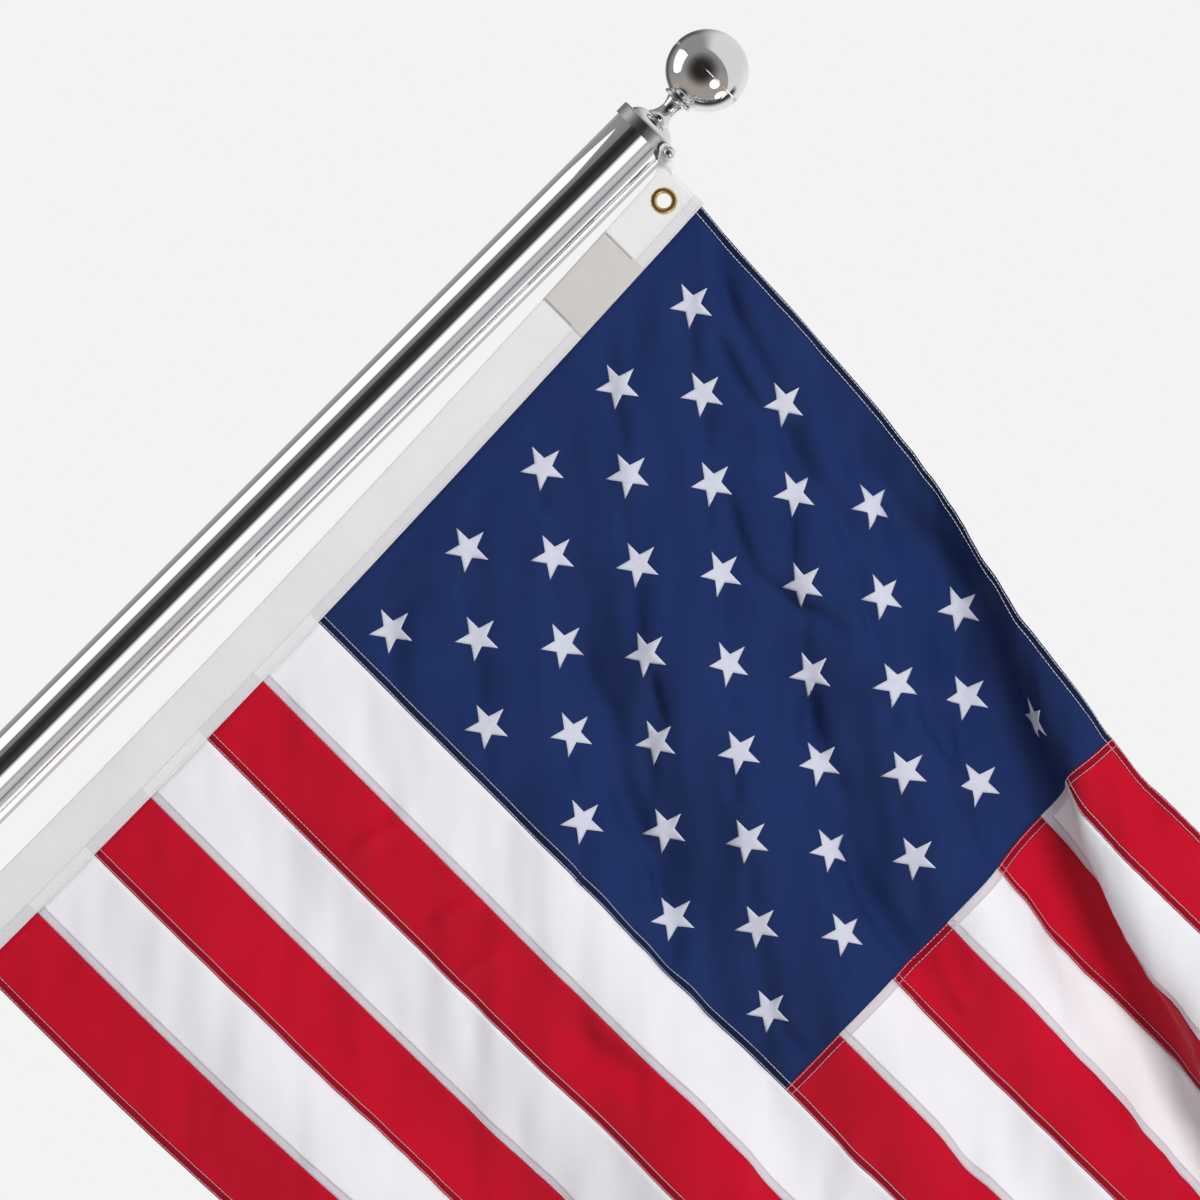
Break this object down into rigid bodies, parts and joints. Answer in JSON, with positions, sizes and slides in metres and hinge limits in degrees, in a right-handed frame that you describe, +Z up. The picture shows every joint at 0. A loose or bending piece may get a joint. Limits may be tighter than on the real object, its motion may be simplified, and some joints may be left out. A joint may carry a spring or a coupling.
{
  "type": "flagpole",
  "caption": "Leaning tube flagpole with ball finial and a waving striped flag, held by a cast wall bracket.",
  "frame": {"origin": "middle of the bracket's flat back face, which lies on the wall", "axes": "+X out from the wall, +Z up; the pole leans out at 45 degrees in the XZ plane and the flag hangs below it in that plane"},
  "size_m": [1.9135, 0.1, 1.5079],
  "materials": {
    "polished_steel": "polished",
    "cast_bracket": "satin",
    "grommet_brass": "polished",
    "canvas": "woven canvas",
    "label_grey": "satin woven tape",
    "cloth_blue": "woven nylon",
    "cloth_red": "woven nylon",
    "cloth_white": "woven nylon"
  },
  "bodies": {
    "root": {"wall_bracket": "cast_bracket", "clamp_screw_1": "polished_steel", "clamp_screw_2": "polished_steel", "pole_tube": "polished_steel", "pole_cap": "polished_steel", "finial_base": "polished_steel", "finial_stem": "polished_steel", "finial_disc": "polished_steel", "finial_ball": "polished_steel", "lower_ring": "polished_steel", "flag_screw_upper": "polished_steel", "flag_screw_lower": "polished_steel", "tab_upper": "canvas", "tab_lower": "canvas", "heading": "canvas", "blank_label": "label_grey", "grommet_upper": "grommet_brass", "grommet_lower": "grommet_brass", "canton": "cloth_blue", "stripe_01": "cloth_red", "stripe_02": "cloth_white", "stripe_03": "cloth_red", "stripe_04": "cloth_white", "stripe_05": "cloth_red", "stripe_06": "cloth_white", "stripe_07": "cloth_red", "stripe_08": "cloth_white", "stripe_09": "cloth_red", "stripe_10": "cloth_white", "stripe_11": "cloth_red", "stripe_12": "cloth_white", "stripe_13": "cloth_red"}
  },
  "joints": []
}
